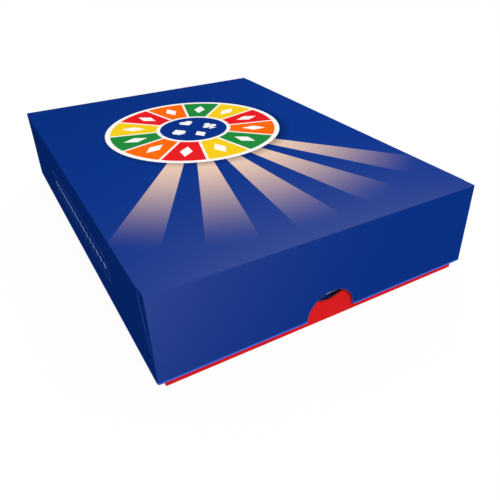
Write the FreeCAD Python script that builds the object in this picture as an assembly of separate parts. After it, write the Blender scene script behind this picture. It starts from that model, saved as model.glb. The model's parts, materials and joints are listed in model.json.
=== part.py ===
import FreeCAD, Part
import math
import os

# Card game: a lid over a tray, both folded from board, with three packets of cards and a folded leaflet.
# Millimetres. The tray stands on z = 0, X runs along the short ends and Y along the long sides.

# Cards
CARD_WIDTH = 63.0
CARD_LENGTH = 88.0
CARD_THICKNESS = 0.32
CARD_CORNER_RADIUS = 3.5
CARD_AIR = 0.01  # between one card and the next
CARD_STRAY = 0.25  # how far a card lies off centre
CARD_STRAY_TURN = 137.5  # degrees between the ways in which a card and the next are off
CARDS_IN_PACKET = 18
PACKETS = ("green", "yellow", "red")  # from the bottom of the tray upwards

# Leaflet, one sheet of paper folded along its left edge
PAPER = 0.12
LEAF_AIR = 0.06  # between its two leaves
LEAF_MARGIN = 1.5  # from the edge of the cards to the edge of the leaflet

# Board of the lid and the tray
PLY = 0.5
FOLD_RADIUS = 0.2  # outside of a creased fold
TAB_LENGTH = 13.0  # glued corner tab, along the fold between panel and wall
TAB_TAPER = 3.0  # the tab is this much shorter at the rim
CORNER_TRIM_AT_FOLD = 2.8  # a long wall stops this far from the corner, at its fold
CORNER_TRIM_AT_RIM = 0.25  # and this far at its rim
CORNER_TRIM_FLAT = 4.5  # height next to the rim over which it keeps that distance
CORNER_STEP = 0.12  # a pressed corner lies this far inside the long wall

# Fits
SIDE_CLEARANCE = 0.75  # card to the tray's tabs
END_CLEARANCE = 3.1  # card to the tray's end walls
HEADROOM = 0.9  # leaflet to the lid
LID_CLEARANCE = 0.4  # tray to lid, on every side
TRAY_STRIP = 1.95  # height of tray that the closed lid leaves showing

# Thumb notches in the short ends, of the same width in lid and tray
NOTCH_RADIUS = 5.4
TRAY_NOTCH_SILL = 4.45  # lowest point of the tray's notch
TRAY_NOTCH_EASE = 1.5  # rounding where the tray's notch runs out into its rim

# Sizes that follow
CARD_PITCH = CARD_THICKNESS + CARD_AIR
CARD_COUNT = CARDS_IN_PACKET * len(PACKETS)
LEAFLET_FLOOR = PLY + CARD_COUNT * CARD_PITCH
LEAFLET_TOP = LEAFLET_FLOOR + 2 * PAPER + LEAF_AIR
TRAY_HEIGHT = LEAFLET_TOP + HEADROOM
TRAY_WIDTH = CARD_WIDTH + 2 * (SIDE_CLEARANCE + 2 * PLY)
TRAY_LENGTH = CARD_LENGTH + 2 * (END_CLEARANCE + PLY)
LID_WIDTH = TRAY_WIDTH + 2 * (LID_CLEARANCE + 2 * PLY)
LID_LENGTH = TRAY_LENGTH + 2 * (LID_CLEARANCE + PLY)
TOTAL_HEIGHT = TRAY_HEIGHT + PLY
LID_HEIGHT = TOTAL_HEIGHT - TRAY_STRIP

NEARLY = 1e-6
PARALLEL = 0.999  # cosine of the angle between two directions
ALONG_X = FreeCAD.Vector(1, 0, 0)
ALONG_Y = FreeCAD.Vector(0, 1, 0)
ALONG_Z = FreeCAD.Vector(0, 0, 1)


def block(width, length, height, floor=0.0):
    """A box centred on the Z axis, with its underside at the given height."""
    return Part.makeBox(width, length, height, FreeCAD.Vector(-width / 2, -length / 2, floor))


def runs_along(edge, direction):
    """Whether a straight edge is parallel to a direction."""
    return abs(edge.tangentAt(edge.FirstParameter).dot(direction)) > PARALLEL


def at_floor(edge):
    """Whether an edge lies in the plane z = 0."""
    return abs(edge.BoundBox.ZMax) < NEARLY


def end_to_end(profile, width):
    """A prism across X. The profile lists its half length along Y at one height after another."""
    far = [FreeCAD.Vector(-width / 2, half, height) for half, height in profile]
    near = [FreeCAD.Vector(-width / 2, -half, height) for half, height in reversed(profile)]
    outline = Part.makePolygon(far + near + far[:1])
    return Part.Face(outline).extrude(ALONG_X * width)


def panel_with_long_walls(width, length, height):
    """The panel and the two long walls, whose ends are trimmed on a slant short of the corners."""
    outside = block(width, length, height)
    folds = [edge for edge in outside.Edges if at_floor(edge) and runs_along(edge, ALONG_Y)]
    channel = outside.makeFillet(FOLD_RADIUS, folds).cut(block(width - 2 * PLY, length, height, PLY))
    half_at_fold = length / 2 - CORNER_TRIM_AT_FOLD
    half_at_rim = length / 2 - CORNER_TRIM_AT_RIM
    trimmed = [(half_at_fold, 0), (half_at_rim, height - CORNER_TRIM_FLAT), (half_at_rim, height)]
    return channel.common(end_to_end(trimmed, width))


def panel_with_end_walls(width, length, height):
    """The panel and the two end walls, with a tab folded along the inside of the long wall at each corner."""
    outside = block(width - 2 * CORNER_STEP, length, height)
    folds = [edge for edge in outside.Edges if at_floor(edge) or runs_along(edge, ALONG_Z)]
    folded = outside.makeFillet(FOLD_RADIUS, folds)
    hollow = folded.cut(block(width - 4 * PLY, length - 2 * PLY, height, PLY))
    half_at_fold = length / 2 - TAB_LENGTH
    half_at_rim = half_at_fold + TAB_TAPER
    between_tabs = end_to_end([(half_at_fold, 0), (half_at_rim, height)], width)
    between_tabs.translate(ALONG_Z * PLY)
    return hollow.cut(between_tabs)


def carton(width, length, height):
    """One sheet of board folded into an open box that stands on its panel."""
    sheet = panel_with_long_walls(width, length, height).fuse(panel_with_end_walls(width, length, height))
    return sheet.removeSplitter()


def through_both_ends(radius, height, length):
    """A cylinder along Y, long enough to pass through both end walls."""
    start = FreeCAD.Vector(0, -length / 2 - PLY, height)
    return Part.makeCylinder(radius, length + 2 * PLY, start, ALONG_Y)


def at_notch_mouth(edge):
    """Whether an edge runs through an end wall's board where the tray's notch meets the rim."""
    middle = edge.CenterOfMass
    at_rim = abs(middle.z - TRAY_HEIGHT) < NEARLY
    at_side = abs(abs(middle.x) - NOTCH_RADIUS) < NEARLY
    return at_rim and at_side


def make_tray():
    """The tray, with a U-shaped notch from the rim of each end wall."""
    notch_centre = TRAY_NOTCH_SILL + NOTCH_RADIUS
    bottom_of_notch = through_both_ends(NOTCH_RADIUS, notch_centre, TRAY_LENGTH)
    mouth = block(2 * NOTCH_RADIUS, TRAY_LENGTH + 2 * PLY, TRAY_HEIGHT, notch_centre)
    tray = carton(TRAY_WIDTH, TRAY_LENGTH, TRAY_HEIGHT).cut(bottom_of_notch.fuse(mouth))
    return tray.makeFillet(TRAY_NOTCH_EASE, [edge for edge in tray.Edges if at_notch_mouth(edge)])


def make_lid():
    """The lid, turned over onto the tray's rim, with a half-moon notch in each end wall."""
    notch = through_both_ends(NOTCH_RADIUS, LID_HEIGHT, LID_LENGTH)
    lid = carton(LID_WIDTH, LID_LENGTH, LID_HEIGHT).cut(notch)
    lid.rotate(FreeCAD.Vector(0, 0, 0), ALONG_X, 180)
    lid.translate(ALONG_Z * TOTAL_HEIGHT)
    return lid


def make_card(place):
    """A card with round corners, at its place in the stack and a little off centre, as cards lie."""
    blank = block(CARD_WIDTH, CARD_LENGTH, CARD_THICKNESS, PLY + place * CARD_PITCH)
    corners = [edge for edge in blank.Edges if runs_along(edge, ALONG_Z)]
    card = blank.makeFillet(CARD_CORNER_RADIUS, corners)
    way = math.radians(CARD_STRAY_TURN * place)
    card.translate(FreeCAD.Vector(math.cos(way), math.sin(way), 0) * CARD_STRAY)
    return card


def make_leaflet():
    """The lower leaf of the leaflet, with the round fold, and the upper leaf, which turns about it."""
    width = CARD_WIDTH - 2 * LEAF_MARGIN
    length = CARD_LENGTH - 2 * LEAF_MARGIN
    spine_radius = PAPER + LEAF_AIR / 2
    spine_start = FreeCAD.Vector(-width / 2, -length / 2, LEAFLET_FLOOR + spine_radius)
    spine = Part.makeCylinder(spine_radius, length, spine_start, ALONG_Y)
    back = block(width, length, PAPER, LEAFLET_FLOOR).fuse(spine).removeSplitter()
    hinge_gap = spine_radius + LEAF_AIR
    front = block(width - hinge_gap, length, PAPER, LEAFLET_TOP - PAPER)
    front.translate(ALONG_X * (hinge_gap / 2))
    return back, front


def make_pieces():
    """Every piece of the game under its own name."""
    pieces = {"tray": make_tray(), "lid": make_lid()}
    for packet, colour in enumerate(PACKETS):
        for number in range(CARDS_IN_PACKET):
            place = packet * CARDS_IN_PACKET + number
            pieces[f"card_{colour}_{number + 1:02d}"] = make_card(place)
    pieces["leaflet_back"], pieces["leaflet_front"] = make_leaflet()
    return pieces


os.makedirs("parts", exist_ok=True)
for name, shape in make_pieces().items():
    shape.exportStep(f"parts/{name}.step")
print(f"lid {LID_WIDTH:.2f} x {LID_LENGTH:.2f} mm, height {TOTAL_HEIGHT:.2f} mm, {CARD_COUNT} cards")
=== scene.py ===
"""Looks of the card game: printed board, card stock and paper, lit and seen as in the photograph."""
import json
import math

import bmesh
import bpy
from mathutils import Matrix, Vector


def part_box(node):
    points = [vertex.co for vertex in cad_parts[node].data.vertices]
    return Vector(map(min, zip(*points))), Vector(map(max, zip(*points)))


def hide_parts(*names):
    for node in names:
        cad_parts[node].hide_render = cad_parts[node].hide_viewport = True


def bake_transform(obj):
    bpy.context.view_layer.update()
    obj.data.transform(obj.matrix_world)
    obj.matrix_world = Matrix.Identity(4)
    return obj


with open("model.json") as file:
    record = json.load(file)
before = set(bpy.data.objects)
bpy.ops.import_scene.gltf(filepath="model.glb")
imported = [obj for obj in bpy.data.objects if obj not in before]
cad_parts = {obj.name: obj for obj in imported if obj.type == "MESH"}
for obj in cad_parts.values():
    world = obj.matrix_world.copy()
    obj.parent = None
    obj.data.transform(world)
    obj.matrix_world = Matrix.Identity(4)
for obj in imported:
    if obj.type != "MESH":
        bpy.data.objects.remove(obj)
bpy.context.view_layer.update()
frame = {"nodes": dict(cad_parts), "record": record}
MM = 0.001

# Camera, in the model's frame
CAMERA_PLACE = Vector((-48.52, -108.16, 65.94)) * MM
CAMERA_AZIMUTH = math.radians(-30.471)
CAMERA_ELEVATION = math.radians(32.508)
CAMERA_ROLL = math.radians(0.679)
CAMERA_FOCAL_PIXELS = 517.50
CAMERA_CENTRE_PIXELS = (269.46, 245.11)
CAMERA_CLIP = 5.0 * MM  # nothing nearer than this is drawn
IMAGE_PIXELS = 500
SENSOR_MM = 36.0

# Stage, in metres and watts
AMBIENT = 0.35
FLOOR_HALF_SIZE = 4.0
FLOOR_BOUNCE = (0.35, 0.35, 0.35, 1.0)  # the floor as the object's surfaces see it
PURE_WHITE = (1.0, 1.0, 1.0, 1.0)
FLOOR_GLOW = 0.9  # share of the floor's white that no shadow reaches
FLOOR_FADE = (0.15, 0.45)  # between these distances from the object's middle that share rises to 1
LAMP_SIZE = 0.8
KEY_PLACE = (-0.29, -1.03, 1.02)
KEY_WATTS = 20.6
FILL_PLACE = (0.73, 1.04, 0.59)
FILL_WATTS = 6.8

# All lengths from here on are in millimetres

# Board, as in the model
PLY = 0.5
CORNER_TRIM_AT_FOLD = 2.8
CORNER_TRIM_AT_RIM = 0.25
CORNER_TRIM_FLAT = 4.5
CORNER_STEP = 0.12
NOTCH_RADIUS = 5.4

# Layers of the board
MESH_SLACK = 0.001
PRINT_DEPTH = 0.12  # print reaches this far below the outermost planes, round the folds
LINER_DEPTH = PLY - MESH_SLACK  # from here on it is the unprinted side
RIM_FACE = 0.025  # what lies nearer to the rim than this is the cut there

# Surfaces: roughness and specular level
BOARD_FINISH = (0.6, 0.0)
CARD_FINISH = (0.4, 0.3)
PAPER_FINISH = (0.7, 0.2)

# Grain of board and paper: scales in waves to the metre, and depths
FIBRE_SCALE = 4200.0
FIBRE_DETAIL = 3.0
WAVE_SCALE = 160.0
WAVE_DETAIL = 2.0
GRAIN_STRENGTH = 0.35
GRAIN_GLOSS = 0.10  # how far it moves the roughness up or down
BOARD_GRAIN = 0.012
CARD_GRAIN = 0.006
PAPER_GRAIN = 0.01

# Print: softness of an edge
PRINT_BLUR = 0.04

# Pips, in shares of a pip's size
STEM_HALF_WIDTH = 0.13
STEM_FLARE_PLACE = 0.75  # below the pip's middle
STEM_FLARE_SLOPE = 0.7
STEM_FOOT = 1.6
CLUB_LEAF_RADIUS = 0.58
CLUB_TOP_LEAF = 0.72
CLUB_SIDE_LEAF = (0.68, -0.3)
DIAMOND_HEIGHT = 1.4

# Painted light on the cover: its blue darkest at the back left and lightest at the front right
COVER_LIGHT_RAMP = (-70.0, 40.0)  # start and end, in places across less places along
COVER_LIGHT_RAMP_FRONT = -10.0  # from here to the front only the place across counts

# Painted sheen: paler blue, on the cover towards the front and on the front wall towards the left
COVER_SHEEN_START = 8.0
COVER_SHEEN_POWER = 3.3
COVER_SHEEN_LOSS = 0.5  # at the cover's sides
FRONT_SHEEN = 0.72
FRONT_SHEEN_START = 24.0
FRONT_SHEEN_POWER = 2.3
FRONT_SHEEN_LOSS = 0.5  # at the rim

# Cover: rays
RAYS = 5
RAY_PITCH = math.radians(17.0)
RAY_SHARE = 0.56  # of the pitch
RAY_START = 16.0
RAY_END = 58.0

# Cover: rosette
ROSETTE_PLACE = 12.0  # to the back of the cover's middle
ROSETTE_RADIUS = 22.0
ROSETTE_SHADOW = 0.7
ROSETTE_SHADOW_SHIFT = (0.6, -1.2)
ROSETTE_SHADOW_BLUR = 1.8
SECTORS = 12
SECTOR_GAP = 0.6
RING_RADIUS = 15.1
RING_WIDTH = 11.4
RING_LOZENGE_PLACE = 15.4
RING_LOZENGE = (1.5, 3.0)  # half of its width and of its height
HUB_RADIUS = 8.5
PIP_PLACE = 4.3
PIP_SIZE = 1.45

# Long walls: an outlined band of lozenges
BAND_PLACE = -2.9  # along the wall
BAND_HALF_LENGTH = 23.4
BAND_HALF_HEIGHT = 2.4
BAND_CORNER = 0.6
BAND_LINE = 0.22
BAND_LINE_STRENGTH = 0.6
BAND_LOZENGES = 17
BAND_PITCH = 2.6
BAND_LOZENGE = (1.1, 0.75)  # half of its width and of its height

# Edges of the lid and the tray: on the lid, painted highlights along the corner seams, the notches and the
# rim, and painted shade on the end folds
SEAM_PLACE = 0.26  # on a long wall, from its trimmed end
SEAM_WIDTH = 0.3
SEAM_BLUR = 0.08
SEAM_RISE = (0.3, 2.3)  # from the fold
SEAM_END = (13.0, 9.0)  # from the fold
SEAM_LOSS = 0.04  # for each millimetre from the fold
FOLD_SHADOW = 0.15
FOLD_SHADOW_WIDTH = 0.18
NOTCH_HIGHLIGHT = 0.06
NOTCH_HIGHLIGHT_STRENGTH = 0.4
LID_RIM_HIGHLIGHT = 0.28
LID_RIM_HIGHLIGHT_BLUR = 0.22
TRAY_RIM_LINE = 0.2
TRAY_RIM_BLUR = 0.1

# Cards
CARD_COLOURS = ("green", "yellow", "red")
PALE_CARD = 8  # in each packet, the one card whose edge shows pale stock
CARD_SKIN = 0.05  # printed layer, as a share of the thickness
CARD_CORE = 0.44  # darker core, as a share of the thickness
CARD_CORE_BLUR = 0.02
CARD_BORDER = 3.0
CARD_FIELD_CORNER = 2.0
CARD_FIELD_LINE = 0.5
CARD_INNER_LINE = 0.35
CARD_INNER_LINE_PLACE = 2.0  # inside the field
CARD_OUTER_LOZENGE = (12.0, 16.5)  # half of its width and of its height, as those below
CARD_MIDDLE_LOZENGE = (9.6, 13.2)
CARD_INNER_LOZENGE = (4.0, 5.5)
CARD_CORNER_LOZENGE = (2.0, 2.75)
CARD_CORNER_PLACE = (9.0, 10.5)  # from the card's edges
LATTICE_MARGIN = 1.2
LATTICE_LINE = 0.4
LATTICE_LOZENGE = (4.0, 5.5)

# Leaflet: paper
PAPER = 0.12
LEAFLET_CURL = 0.35  # lift of the upper leaf's free edge
LEAF_STEPS = 16
TURN_STEPS = 8
SHEET_ROWS = 10
OUTSIDE_SLOT, INSIDE_SLOT = 0, 1  # material slots of the sheet

# Leaflet: print, with places along the page from its middle
RULE_PITCH = 3.2
RULE_WIDTH = 0.8
RULE_SHORTFALL = 14.0  # the shortest row lacks this much
OUTSIDE_MARGIN = 4.0
OUTSIDE_CORNER = 1.5
OUTSIDE_LINE = 0.4
HEAD_PLACE = 22.0
HEAD_HALF_LENGTH = 15.0
HEAD_LOZENGE = (5.4, 7.4)
HEAD_LOZENGE_PITCH = 13.0
OUTSIDE_RULES_PLACE = -18.0
OUTSIDE_RULES_HALF_LENGTH = 17.0
INSIDE_MARGIN = 5.0
INSIDE_RULES_PLACE = -6.0
INSIDE_RULES_HALF_LENGTH = 30.0
INSIDE_LOZENGE = (4.0, 5.5)
INSIDE_LOZENGE_PLACE = 33.0

# Leaflet: sizes from the frame
LEAFLET_LOW, LEAFLET_HIGH = (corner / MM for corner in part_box("leaflet_back"))
TURN_RADIUS = (LEAFLET_HIGH.z - LEAFLET_LOW.z - PAPER) / 2  # of the paper's middle round the fold
FOLD_X = LEAFLET_LOW.x + TURN_RADIUS + PAPER / 2
FOLD_Z = LEAFLET_LOW.z + TURN_RADIUS + PAPER / 2
LEAF_LENGTH = LEAFLET_HIGH.y - LEAFLET_LOW.y
LEAF_WIDTH = LEAFLET_HIGH.x - FOLD_X
PAGE_MIDDLE = (LEAF_WIDTH + math.pi * TURN_RADIUS) / 2  # across the flat sheet, from its fold

# Node sockets that have no names of their own
MIX_COLOUR_A, MIX_COLOUR_B, MIX_COLOUR_OUT = 6, 7, 2


def srgb(red, green, blue):
    """A colour written as 0 to 255 on the screen, as linear light."""
    def linear(value):
        share = value / 255
        return share / 12.92 if share <= 0.04045 else ((share + 0.055) / 1.055) ** 2.4
    return linear(red), linear(green), linear(blue), 1.0


BLUE = srgb(11, 49, 131)
# painted light on the cover: a darker blue at the back left and a lighter one at the right
SHADED_COVER_BLUE = srgb(10, 48, 126)
LIT_COVER_BLUE = srgb(14, 53, 137)
# painted sheen on the cover and on the front wall
SHEEN_BLUE = srgb(54, 73, 141)
WALL_SHEEN_BLUE = srgb(54, 73, 147)
# painted highlights along the lid's rim and its corner seams
RIM_HIGHLIGHT_BLUE = srgb(68, 112, 228)
SEAM_HIGHLIGHT_BLUE = srgb(78, 108, 184)
CUT_BLUE = srgb(80, 94, 164)
SHADOW_BLUE = srgb(2, 14, 58)
# blue of printed frames, also used for a painted highlight along the lid's notches
FRAME_AND_HIGHLIGHT_BLUE = srgb(96, 118, 186)
PALE_BLUE = srgb(133, 166, 229)
RED = srgb(218, 31, 36)
RED_INK = srgb(226, 30, 36)
RIM_RED = srgb(204, 24, 30)
CUT_RED = srgb(176, 44, 42)
YELLOW = srgb(240, 200, 30)
GREEN = srgb(34, 134, 60)
ORANGE = srgb(250, 104, 14)
CREAM = srgb(238, 204, 178)
WHITE = srgb(244, 243, 240)
LINER = srgb(214, 212, 206)
PAPER_WHITE = srgb(238, 236, 230)
PAPER_GREY = srgb(120, 122, 130)
BLUE_STOCK = srgb(58, 90, 190)
BLUE_STOCK_CORE = srgb(30, 62, 160)
PALE_STOCK = srgb(226, 234, 255)
RING_INKS = (RED_INK, YELLOW, GREEN, ORANGE)
PACKET_INK = {"green": GREEN, "yellow": YELLOW, "red": RED_INK}


class Field:
    """A number that varies over a surface, worked out by Math nodes of one material."""

    def __init__(self, tree, socket):
        self.tree = tree
        self.socket = socket

    def math(self, operation, *others, clamp=False):
        node = self.tree.nodes.new("ShaderNodeMath")
        node.operation = operation
        node.use_clamp = clamp
        for entry, value in zip(node.inputs, (self, *others)):
            if isinstance(value, Field):
                self.tree.links.new(value.socket, entry)
            else:
                entry.default_value = value
        return Field(self.tree, node.outputs[0])

    def __add__(self, other):
        return self.math("ADD", other)

    def __sub__(self, other):
        return self.math("SUBTRACT", other)

    def __rsub__(self, other):
        return self.math("MULTIPLY_ADD", -1.0, other)

    def __mul__(self, other):
        return self.math("MULTIPLY", other)

    def __neg__(self):
        return self.math("MULTIPLY", -1.0)

    def __abs__(self):
        return self.math("ABSOLUTE")

    def least(self, other):
        return self.math("MINIMUM", other)

    def most(self, other):
        return self.math("MAXIMUM", other)

    def below(self, limit):
        """1 where the number is under a limit, and 0 elsewhere."""
        return self.math("LESS_THAN", limit)

    def above(self, limit):
        """1 where the number is over a limit, and 0 elsewhere."""
        return self.math("GREATER_THAN", limit)

    def nearest(self, pitch):
        """The number of the nearest whole multiple of a pitch."""
        return self.math("DIVIDE", pitch).math("ROUND")

    def repeat(self, pitch):
        """The distance to the nearest whole multiple of a pitch, with its sign."""
        return self - self.nearest(pitch) * pitch

    def fade(self, start, end, power):
        """0 at start, 1 at end and beyond, with most of the rise near the end."""
        reach = end - start
        return self.math("MULTIPLY_ADD", 1 / reach, -start / reach, clamp=True).math("POWER", power)

    def ramp(self, start, end):
        """0 at start, 1 at end and beyond, and smooth between them."""
        node = self.tree.nodes.new("ShaderNodeMapRange")
        node.interpolation_type = "SMOOTHSTEP"
        self.tree.links.new(self.socket, node.inputs["Value"])
        node.inputs["From Min"].default_value = start
        node.inputs["From Max"].default_value = end
        return Field(self.tree, node.outputs["Result"])

    def chance(self):
        """A number from 0 to 1 without order, always the same for the same value."""
        node = self.tree.nodes.new("ShaderNodeTexWhiteNoise")
        node.noise_dimensions = "1D"
        self.tree.links.new(self.socket, node.inputs["W"])
        return Field(self.tree, node.outputs["Value"])


class Ink:
    """A colour over a surface, laid on in layers."""

    def __init__(self, tree, ground):
        self.tree = tree
        self.ground = ground
        self.socket = None

    def lay(self, colour, mask):
        node = self.tree.nodes.new("ShaderNodeMix")
        node.data_type = "RGBA"
        self.tree.links.new(mask.socket, node.inputs["Factor"])
        if self.socket is None:
            node.inputs[MIX_COLOUR_A].default_value = self.ground
        else:
            self.tree.links.new(self.socket, node.inputs[MIX_COLOUR_A])
        node.inputs[MIX_COLOUR_B].default_value = colour
        self.socket = node.outputs[MIX_COLOUR_OUT]


def inside(distance, blur=PRINT_BLUR):
    """1 where a signed distance is below 0, with a soft edge."""
    return distance.math("MULTIPLY_ADD", -0.5 / blur, 0.5, clamp=True)


def disc(x, y, radius):
    return (x * x + y * y).math("SQRT") - radius


def rhombus(x, y, half_width, half_height):
    height = half_width * half_height / math.hypot(half_width, half_height)
    return (abs(x) * (1 / half_width) + abs(y) * (1 / half_height)) * height - height


def panel(x, y, half_width, half_height, corner):
    """A rectangle with round corners."""
    over_x = abs(x) - (half_width - corner)
    over_y = abs(y) - (half_height - corner)
    return disc(over_x.most(0.0), over_y.most(0.0), corner) + over_x.most(over_y).least(0.0)


def line(distance, width):
    """The outline of a shape."""
    return abs(distance) - width / 2


def heart(x, y, size):
    """Two discs on the upper sides of a square that stands on its corner."""
    lobe = disc(abs(x) - size / 2, y - size / 2, size * math.sqrt(0.5))
    return lobe.least(rhombus(x, y, size, size))


def stem(x, y, size):
    """A foot that widens downwards."""
    flare = (-y - STEM_FLARE_PLACE * size).most(0.0) * STEM_FLARE_SLOPE
    return (abs(x) - (flare + STEM_HALF_WIDTH * size)).most(-y - STEM_FOOT * size).most(y)


def spade(x, y, size):
    return heart(x, -y, size).least(stem(x, y, size))


def club(x, y, size):
    radius = CLUB_LEAF_RADIUS * size
    side_x, side_y = (share * size for share in CLUB_SIDE_LEAF)
    top_leaf = disc(x, y - CLUB_TOP_LEAF * size, radius)
    side_leaves = disc(abs(x) - side_x, y - side_y, radius)
    return top_leaf.least(side_leaves).least(stem(x, y, size))


def diamond(x, y, size):
    return rhombus(x, y, size, DIAMOND_HEIGHT * size)


def new_material(name, finish):
    """A material whose only shader is a Principled one."""
    material = bpy.data.materials.new(name)
    material.use_nodes = True
    tree = material.node_tree
    shader = tree.nodes["Principled BSDF"]
    roughness, specular = finish
    shader.inputs["Roughness"].default_value = roughness
    shader.inputs["Specular IOR Level"].default_value = specular
    return material, tree, shader


def place(tree, output):
    """A texture coordinate of the surface."""
    return tree.nodes.new("ShaderNodeTexCoord").outputs[output]


def separate(tree, vector, scale):
    """A vector's three parts, each times a scale."""
    parts = tree.nodes.new("ShaderNodeSeparateXYZ")
    tree.links.new(vector, parts.inputs[0])
    return [Field(tree, socket) * factor for socket, factor in zip(parts.outputs, scale)]


def noise(tree, vector, scale, detail):
    """Smooth noise from 0 to 1, with a scale in waves to the metre."""
    node = tree.nodes.new("ShaderNodeTexNoise")
    tree.links.new(vector, node.inputs["Vector"])
    node.inputs["Scale"].default_value = scale
    node.inputs["Detail"].default_value = detail
    return Field(tree, node.outputs["Fac"])


def grain(tree, shader, vector, depth):
    """Fine unevenness of paper under its print, in bump and in gloss."""
    fibres = noise(tree, vector, FIBRE_SCALE, FIBRE_DETAIL)
    waves = noise(tree, vector, WAVE_SCALE, WAVE_DETAIL)
    bump = tree.nodes.new("ShaderNodeBump")
    bump.inputs["Strength"].default_value = GRAIN_STRENGTH
    bump.inputs["Distance"].default_value = depth * MM
    tree.links.new((fibres + waves).socket, bump.inputs["Height"])
    tree.links.new(bump.outputs["Normal"], shader.inputs["Normal"])
    smoothest = shader.inputs["Roughness"].default_value - GRAIN_GLOSS
    gloss = fibres * GRAIN_GLOSS + waves * GRAIN_GLOSS + smoothest
    tree.links.new(gloss.socket, shader.inputs["Roughness"])


class Board:
    """Where a point of a folded carton lies on its sheet of board."""

    def __init__(self, tree, node, fold_at_top):
        low, high = (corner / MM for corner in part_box(node))
        self.half_width = high.x
        self.half_length = high.y
        self.height = high.z - low.z
        self.vector = place(tree, "Object")
        self.x, self.y, z = separate(tree, self.vector, (1 / MM,) * 3)
        self.from_fold = high.z - z if fold_at_top else z - low.z
        self.from_rim = self.height - self.from_fold
        self.from_end = self.half_length - abs(self.y)
        from_side = self.half_width - abs(self.x)
        slant = (CORNER_TRIM_AT_RIM - CORNER_TRIM_AT_FOLD) / (self.height - CORNER_TRIM_FLAT)
        trim = (self.from_fold * slant + CORNER_TRIM_AT_FOLD).most(CORNER_TRIM_AT_RIM)
        self.from_seam = self.from_end - trim
        pressed = self.from_seam.below(0.0) * CORNER_STEP
        depth = self.from_fold.least(self.from_end).least(from_side - pressed)
        self.is_cut = depth.above(PRINT_DEPTH)
        self.is_liner = depth.above(LINER_DEPTH) * self.from_rim.above(RIM_FACE)
        self.on_panel = self.from_fold.below(PRINT_DEPTH)
        self.on_side = from_side.below(PRINT_DEPTH)


def board_material(node, ground, cut, fold_at_top, painting):
    """Printed and laminated board: print outside, on the lid also painted light, sheen, shade and
    highlights, its own colour at the cuts, bare liner inside.
    """
    material, tree, shader = new_material(f"{node}_board", BOARD_FINISH)
    board = Board(tree, node, fold_at_top)
    ink = Ink(tree, ground)
    painting(ink, board)
    ink.lay(cut, board.is_cut)
    ink.lay(LINER, board.is_liner)
    tree.links.new(ink.socket, shader.inputs["Base Color"])
    grain(tree, shader, board.vector, BOARD_GRAIN)
    return material


def lid_print_and_painted_light(ink, board):
    """All print on the lid, with its painted light, sheen, shade and highlights, in the order in which it
    is laid on.
    """
    painted_light_print(ink, board)
    painted_sheen_print(ink, board)
    ray_print(ink, board)
    rosette_print(ink, board)
    band_print(ink, board)
    lid_edges_print(ink, board)


def painted_light_print(ink, board):
    """Painted light: the cover's blue, darkest at the back left and lightest at the front right."""
    to_right = (board.x - board.y.most(COVER_LIGHT_RAMP_FRONT)).ramp(*COVER_LIGHT_RAMP)
    ink.lay(SHADED_COVER_BLUE, board.on_panel)
    ink.lay(LIT_COVER_BLUE, to_right * board.on_panel)


def painted_sheen_print(ink, board):
    """Painted sheen: paler blue towards the front of the cover, and towards the left of the front wall."""
    to_front = board.y.fade(COVER_SHEEN_START, -board.half_length, COVER_SHEEN_POWER)
    to_middle = 1.0 - (board.x * board.x) * (COVER_SHEEN_LOSS / board.half_width ** 2)
    ink.lay(SHEEN_BLUE, to_front * to_middle * board.on_panel)
    to_left = board.x.fade(FRONT_SHEEN_START, -board.half_width, FRONT_SHEEN_POWER)
    to_fold = 1.0 - board.from_fold * (FRONT_SHEEN_LOSS / board.height)
    on_front = inside(board.y + board.half_length - PRINT_DEPTH) * (1.0 - board.on_panel)
    ink.lay(WALL_SHEEN_BLUE, to_left * to_fold * on_front * FRONT_SHEEN)


def about_rosette(board):
    """Places from the rosette's centre: across, along, and as a radius and an angle."""
    x = board.x
    y = board.y - ROSETTE_PLACE
    return x, y, disc(x, y, 0.0), y.math("ARCTAN2", x)


def ray_print(ink, board):
    """Pale rays from the rosette that fade towards the front of the cover."""
    _, _, radius, angle = about_rosette(board)
    from_front = angle + math.pi / 2
    ray = (abs(from_front.repeat(RAY_PITCH)) - RAY_PITCH * RAY_SHARE / 2) * radius
    fan = (abs(from_front) - RAY_PITCH * RAYS / 2) * radius
    ink.lay(CREAM, inside(ray.most(fan)) * radius.ramp(RAY_END, RAY_START) * board.on_panel)


def rosette_print(ink, board):
    """A ring of coloured sectors with a lozenge in each, and four pips in a blue hub."""
    x, y, radius, angle = about_rosette(board)
    on_panel = board.on_panel
    shift_x, shift_y = ROSETTE_SHADOW_SHIFT
    shadow = inside(disc(x - shift_x, y - shift_y, ROSETTE_RADIUS), ROSETTE_SHADOW_BLUR)
    ink.lay(SHADOW_BLUE, shadow * on_panel * ROSETTE_SHADOW)
    ink.lay(WHITE, inside(radius - ROSETTE_RADIUS) * on_panel)

    sector = 2 * math.pi / SECTORS
    ring = line(radius - RING_RADIUS, RING_WIDTH)
    for number, colour in enumerate(RING_INKS):
        turned = (angle - number * sector).repeat(sector * len(RING_INKS))
        wedge = (abs(turned) - sector / 2) * radius + SECTOR_GAP / 2
        ink.lay(colour, inside(wedge.most(ring)) * on_panel)
    lozenge = rhombus(angle.repeat(sector) * radius, radius - RING_LOZENGE_PLACE, *RING_LOZENGE)
    ink.lay(WHITE, inside(lozenge) * on_panel)

    ink.lay(BLUE, inside(radius - HUB_RADIUS) * on_panel)
    for pip, across, along in ((heart, 0, 1), (spade, -1, 0), (club, 1, 0), (diamond, 0, -1)):
        shape = pip(x - across * PIP_PLACE, y - along * PIP_PLACE, PIP_SIZE)
        ink.lay(WHITE, inside(shape) * on_panel)


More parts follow.
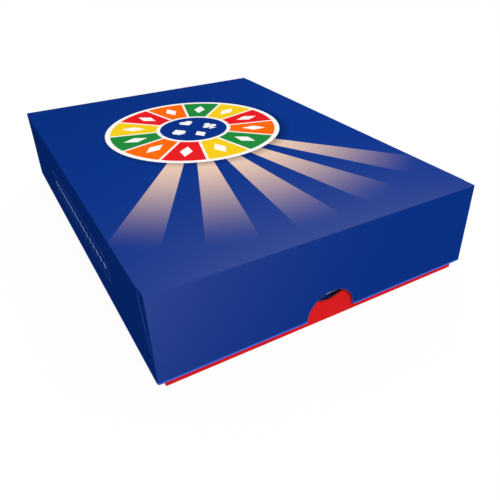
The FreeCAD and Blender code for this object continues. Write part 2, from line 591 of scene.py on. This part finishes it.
def band_print(ink, board):
    """A thin outlined band of small lozenges along each long wall."""
    y = board.y - BAND_PLACE
    z = board.from_fold - board.height / 2
    outline = line(panel(y, z, BAND_HALF_LENGTH, BAND_HALF_HEIGHT, BAND_CORNER), BAND_LINE)
    ink.lay(FRAME_AND_HIGHLIGHT_BLUE, inside(outline) * board.on_side * BAND_LINE_STRENGTH)
    in_row = inside(abs(y) - BAND_LOZENGES / 2 * BAND_PITCH)
    lozenges = inside(rhombus(y.repeat(BAND_PITCH), z, *BAND_LOZENGE))
    ink.lay(PALE_BLUE, lozenges * in_row * board.on_side)


def lid_edges_print(ink, board):
    """A painted highlight as a pale line along each corner seam, painted shade on the end folds, and
    painted highlights at the notches and along the rim.
    """
    # painted highlight: a pale line along each corner seam
    seam = inside(line(board.from_seam - SEAM_PLACE, SEAM_WIDTH), SEAM_BLUR) * board.on_side
    strength = board.from_fold.ramp(*SEAM_RISE) * board.from_fold.ramp(*SEAM_END)
    ink.lay(SEAM_HIGHLIGHT_BLUE, seam * strength * (1.0 - board.from_fold * SEAM_LOSS))
    # painted shade along the folds to the end walls
    fold = inside(board.from_fold.most(board.from_end) - FOLD_SHADOW_WIDTH)
    ink.lay(SHADOW_BLUE, fold * FOLD_SHADOW)
    # painted highlight along the edge of each notch
    from_notch = abs(disc(board.x, board.from_rim, NOTCH_RADIUS)) + board.from_end
    ink.lay(FRAME_AND_HIGHLIGHT_BLUE, inside(from_notch - NOTCH_HIGHLIGHT, NOTCH_HIGHLIGHT) * NOTCH_HIGHLIGHT_STRENGTH)
    # painted highlight along the lid's lower rim
    ink.lay(RIM_HIGHLIGHT_BLUE, inside(board.from_rim - LID_RIM_HIGHLIGHT, LID_RIM_HIGHLIGHT_BLUR))


def tray_print(ink, board):
    """A darker line along the rim."""
    ink.lay(RIM_RED, inside(board.from_rim - TRAY_RIM_LINE, TRAY_RIM_BLUR))


def card_material(name, colour, edge, core):
    """A card: a colour field in a blue border on the face, a lattice on the back, stock at the edge."""
    material, tree, shader = new_material(name, CARD_FINISH)
    low, high = (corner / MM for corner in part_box(f"card_{colour}_01"))
    size = high - low
    x, y, z = separate(tree, place(tree, "Generated"), size)
    x = x - size.x / 2
    y = y - size.y / 2
    face = z.above((1 - CARD_SKIN) * size.z)
    back = z.below(CARD_SKIN * size.z)
    ink = Ink(tree, edge)
    ink.lay(core, inside(line(z - size.z / 2, CARD_CORE * size.z), CARD_CORE_BLUR))
    ink.lay(BLUE, face.most(back))
    field = panel(x, y, size.x / 2 - CARD_BORDER, size.y / 2 - CARD_BORDER, CARD_FIELD_CORNER)
    from_corner_x = abs(x) - (size.x / 2 - CARD_CORNER_PLACE[0])
    from_corner_y = abs(y) - (size.y / 2 - CARD_CORNER_PLACE[1])
    for tint, shape in (
        (WHITE, field - CARD_FIELD_LINE),
        (PACKET_INK[colour], field),
        (WHITE, line(field + CARD_INNER_LINE_PLACE, CARD_INNER_LINE)),
        (WHITE, rhombus(x, y, *CARD_OUTER_LOZENGE)),
        (PACKET_INK[colour], rhombus(x, y, *CARD_MIDDLE_LOZENGE)),
        (WHITE, rhombus(x, y, *CARD_INNER_LOZENGE)),
        (WHITE, rhombus(from_corner_x, from_corner_y, *CARD_CORNER_LOZENGE)),
    ):
        ink.lay(tint, inside(shape) * face)
    ink.lay(WHITE, inside(line(field, CARD_FIELD_LINE)) * back)
    half_width, half_height = LATTICE_LOZENGE
    lozenges = rhombus(x.repeat(2 * half_width), y.repeat(2 * half_height), half_width, half_height)
    ink.lay(WHITE, inside(line(lozenges, LATTICE_LINE)) * inside(field + LATTICE_MARGIN) * back)
    tree.links.new(ink.socket, shader.inputs["Base Color"])
    grain(tree, shader, place(tree, "Object"), CARD_GRAIN)
    return material


def leaf_material(name, painting):
    """Leaflet paper, printed in the sheet's own flat coordinates."""
    material, tree, shader = new_material(name, PAPER_FINISH)
    flat = place(tree, "UV")
    across, along, _ = separate(tree, flat, (1 / MM,) * 3)
    ink = Ink(tree, PAPER_WHITE)
    painting(ink, across, along)
    tree.links.new(ink.socket, shader.inputs["Base Color"])
    grain(tree, shader, flat, PAPER_GRAIN)
    return material


def ruled_lines(across, along, half_width, half_length):
    """Rows of grey rule in the place of reading matter, each row of its own length."""
    shortfall = along.nearest(RULE_PITCH).chance() * RULE_SHORTFALL
    in_row = line(along.repeat(RULE_PITCH), RULE_WIDTH)
    in_width = (across + shortfall - half_width).most(-across - half_width)
    return in_row.most(in_width).most(abs(along) - half_length)


def outside_of_leaflet(ink, across, along):
    """Front page with a blue head, three lozenges and ruled lines, back page with a plain frame."""
    half_width = LEAF_WIDTH / 2 - OUTSIDE_MARGIN
    half_length = LEAF_LENGTH / 2 - OUTSIDE_MARGIN
    front = across - PAGE_MIDDLE
    back = across + PAGE_MIDDLE
    from_head = along - HEAD_PLACE
    ink.lay(BLUE, inside(panel(front, from_head, half_width, HEAD_HALF_LENGTH, OUTSIDE_CORNER)))
    for step, colour in ((-1, RED), (0, YELLOW), (1, GREEN)):
        ink.lay(colour, inside(rhombus(front - step * HEAD_LOZENGE_PITCH, from_head, *HEAD_LOZENGE)))
    rules = ruled_lines(front, along - OUTSIDE_RULES_PLACE, half_width, OUTSIDE_RULES_HALF_LENGTH)
    ink.lay(PAPER_GREY, inside(rules))
    outline = line(panel(back, along, half_width, half_length, OUTSIDE_CORNER), OUTSIDE_LINE)
    ink.lay(FRAME_AND_HIGHLIGHT_BLUE, inside(outline))


def inside_of_leaflet(ink, across, along):
    """Two pages of ruled lines, with a colour lozenge at the head of each."""
    half_width = LEAF_WIDTH / 2 - INSIDE_MARGIN
    for side, colour in ((-1, GREEN), (1, RED)):
        from_middle = side * PAGE_MIDDLE - across  # seen from inside, across runs leftwards
        rules = ruled_lines(from_middle, along - INSIDE_RULES_PLACE, half_width, INSIDE_RULES_HALF_LENGTH)
        ink.lay(PAPER_GREY, inside(rules))
        ink.lay(colour, inside(rhombus(from_middle, along - INSIDE_LOZENGE_PLACE, *INSIDE_LOZENGE)))


def leaflet_profile():
    """Steps from the sheet's lower free edge round the fold to the upper one: x, z and the way outward."""
    profile = []
    for step in range(LEAF_STEPS):
        share = 1 - step / LEAF_STEPS
        profile.append((FOLD_X + LEAF_WIDTH * share, FOLD_Z - TURN_RADIUS, 0.0, -1.0))
    for step in range(TURN_STEPS + 1):
        angle = math.pi * step / TURN_STEPS
        out_x = -math.sin(angle)
        out_z = -math.cos(angle)
        profile.append((FOLD_X + TURN_RADIUS * out_x, FOLD_Z + TURN_RADIUS * out_z, out_x, out_z))
    for step in range(1, LEAF_STEPS + 1):
        share = step / LEAF_STEPS
        lift = LEAFLET_CURL * share ** 2
        tilt = 2 * LEAFLET_CURL * share / LEAF_WIDTH
        profile.append((FOLD_X + LEAF_WIDTH * share, FOLD_Z + TURN_RADIUS + lift, -tilt, 1.0))
    return profile


def flat_places(profile):
    """Where each step of the folded sheet lies when it is flat, from the sheet's middle."""
    lengths = [0.0]
    for before, after in zip(profile, profile[1:]):
        lengths.append(lengths[-1] + math.dist(before[:2], after[:2]))
    return [length - lengths[-1] / 2 for length in lengths]


def leaflet_mesh():
    """The folded sheet as a closed mesh, with its flat coordinates, in metres, as its UVs."""
    profile = leaflet_profile()
    across = flat_places(profile)
    rows = [(row / SHEET_ROWS - 0.5) * LEAF_LENGTH for row in range(SHEET_ROWS + 1)]
    mesh = bmesh.new()
    uv = mesh.loops.layers.uv.new("flat")
    flat = {}

    def skin(offset):
        """The vertices at a distance outward of the sheet's middle, step by step and row by row."""
        grid = []
        for (x, z, out_x, out_z), flat_x in zip(profile, across):
            grid.append([])
            for y in rows:
                vert = mesh.verts.new(((x + offset * out_x) * MM, y * MM, (z + offset * out_z) * MM))
                flat[vert] = (flat_x * MM, y * MM)
                grid[-1].append(vert)
        return grid

    def face(verts, material):
        made = mesh.faces.new(verts)
        made.material_index = material
        made.smooth = True
        for loop in made.loops:
            loop[uv].uv = flat[loop.vert]
        return made

    def cut_edge(verts):
        """A face across the paper's thickness, between sharp edges."""
        for edge in face(verts, INSIDE_SLOT).edges:
            edge.smooth = False

    outer = skin(PAPER / 2)
    inner = skin(-PAPER / 2)
    last = len(profile) - 1
    for step in range(last):
        for row in range(SHEET_ROWS):
            over = (outer[step][row], outer[step][row + 1], outer[step + 1][row + 1], outer[step + 1][row])
            under = (inner[step][row], inner[step + 1][row], inner[step + 1][row + 1], inner[step][row + 1])
            face(over, OUTSIDE_SLOT)
            face(under, INSIDE_SLOT)
        for row in (0, SHEET_ROWS):
            cut_edge((outer[step][row], outer[step + 1][row], inner[step + 1][row], inner[step][row]))
    for step in (0, last):
        for row in range(SHEET_ROWS):
            cut_edge((outer[step][row], inner[step][row], inner[step][row + 1], outer[step][row + 1]))
    bmesh.ops.recalc_face_normals(mesh, faces=mesh.faces)
    return mesh


def make_leaflet():
    """The leaflet as one sheet of paper, folded at its left edge, with its free edge a little raised."""
    data = bpy.data.meshes.new("rules_leaflet")
    mesh = leaflet_mesh()
    mesh.to_mesh(data)
    mesh.free()
    sheet = bpy.data.objects.new("rules_leaflet", data)
    bpy.context.scene.collection.objects.link(sheet)
    data.materials.append(leaf_material("leaflet_outside", outside_of_leaflet))
    data.materials.append(leaf_material("leaflet_inside", inside_of_leaflet))
    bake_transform(sheet)
    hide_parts("leaflet_back", "leaflet_front")


def dress(node, material):
    """Gives a node of the model its material."""
    slots = frame["nodes"][node].data.materials
    slots.clear()
    slots.append(material)


def dress_packet(colour):
    """Gives the cards of a packet their print, one of them on pale stock."""
    blue_stock = card_material(f"card_{colour}", colour, BLUE_STOCK, BLUE_STOCK_CORE)
    pale_stock = card_material(f"card_{colour}_pale", colour, PALE_STOCK, PALE_STOCK)
    pale_card = f"card_{colour}_{PALE_CARD:02d}"
    for card in frame["record"]["behaviour"]["bodies"][f"{colour}_cards"]:
        dress(card, pale_stock if card == pale_card else blue_stock)


def seen_directly(tree):
    """1 for rays from the camera, from a mirror or through glass."""
    path = tree.nodes.new("ShaderNodeLightPath")
    kinds = ("Is Camera Ray", "Is Glossy Ray", "Is Transmission Ray")
    camera, glossy, through = (Field(tree, path.outputs[kind]) for kind in kinds)
    return camera.most(glossy).most(through)


def floor_material():
    """White paint that takes a pale shadow near the object, and pure white further off."""
    material = bpy.data.materials.new("floor")
    material.use_nodes = True
    tree = material.node_tree
    tree.nodes.clear()
    seen = seen_directly(tree)
    colour = Ink(tree, FLOOR_BOUNCE)
    colour.lay(PURE_WHITE, seen)
    paint = tree.nodes.new("ShaderNodeBsdfDiffuse")
    tree.links.new(colour.socket, paint.inputs["Color"])
    glow = tree.nodes.new("ShaderNodeEmission")
    x, y, _ = separate(tree, place(tree, "Object"), (1.0,) * 3)
    far = disc(x, y, 0.0).ramp(*FLOOR_FADE)
    share = seen * (far * (1.0 - FLOOR_GLOW) + FLOOR_GLOW)
    mix = tree.nodes.new("ShaderNodeMixShader")
    tree.links.new(share.socket, mix.inputs["Fac"])
    tree.links.new(paint.outputs[0], mix.inputs[1])
    tree.links.new(glow.outputs[0], mix.inputs[2])
    output = tree.nodes.new("ShaderNodeOutputMaterial")
    tree.links.new(mix.outputs[0], output.inputs["Surface"])
    return material


def make_floor():
    """A wide plain floor under the object."""
    reach = FLOOR_HALF_SIZE
    corners = [(-reach, -reach, 0), (reach, -reach, 0), (reach, reach, 0), (-reach, reach, 0)]
    data = bpy.data.meshes.new("floor")
    data.from_pydata(corners, [], [(0, 1, 2, 3)])
    data.materials.append(floor_material())
    floor = bpy.data.objects.new("floor", data)
    bpy.context.scene.collection.objects.link(floor)


def make_surround():
    """Even light from all sides, which looks white."""
    world = bpy.data.worlds.new("surround")
    bpy.context.scene.world = world
    world.use_nodes = True
    tree = world.node_tree
    background = tree.nodes["Background"]
    background.inputs["Color"].default_value = PURE_WHITE
    strength = seen_directly(tree) * (1 - AMBIENT) + AMBIENT
    tree.links.new(strength.socket, background.inputs["Strength"])


def make_lamp(name, spot, watts):
    """A square soft lamp turned to the middle of the box."""
    data = bpy.data.lights.new(name, "AREA")
    data.size = LAMP_SIZE
    data.energy = watts
    lamp = bpy.data.objects.new(name, data)
    lamp.location = spot
    lamp.rotation_euler = (-Vector(spot)).to_track_quat("-Z", "Y").to_euler()
    bpy.context.scene.collection.objects.link(lamp)


def make_camera():
    """The photograph's viewpoint, with its framing as lens shift."""
    data = bpy.data.cameras.new("camera")
    data.sensor_width = SENSOR_MM
    data.lens = CAMERA_FOCAL_PIXELS / IMAGE_PIXELS * SENSOR_MM
    data.shift_x = (IMAGE_PIXELS / 2 - CAMERA_CENTRE_PIXELS[0]) / IMAGE_PIXELS
    data.shift_y = (CAMERA_CENTRE_PIXELS[1] - IMAGE_PIXELS / 2) / IMAGE_PIXELS
    data.clip_start = CAMERA_CLIP
    flat = math.cos(CAMERA_ELEVATION)
    backward = Vector((
        math.sin(CAMERA_AZIMUTH) * flat,
        -math.cos(CAMERA_AZIMUTH) * flat,
        math.sin(CAMERA_ELEVATION),
    ))
    level = Vector((0, 0, 1)).cross(backward).normalized()
    steep = backward.cross(level)
    right = math.cos(CAMERA_ROLL) * level - math.sin(CAMERA_ROLL) * steep
    upward = backward.cross(right)
    turn = Matrix((right, upward, backward)).transposed().to_4x4()
    camera = bpy.data.objects.new("camera", data)
    camera.matrix_world = Matrix.Translation(CAMERA_PLACE) @ turn
    bpy.context.scene.collection.objects.link(camera)
    bpy.context.scene.camera = camera


bpy.context.scene.view_settings.view_transform = "Standard"
dress("lid", board_material("lid", ground=BLUE, cut=CUT_BLUE, fold_at_top=True, painting=lid_print_and_painted_light))
dress("tray", board_material("tray", ground=RED, cut=CUT_RED, fold_at_top=False, painting=tray_print))
for packet in CARD_COLOURS:
    dress_packet(packet)
make_leaflet()
make_floor()
make_surround()
make_lamp("key", KEY_PLACE, KEY_WATTS)
make_lamp("fill", FILL_PLACE, FILL_WATTS)
make_camera()
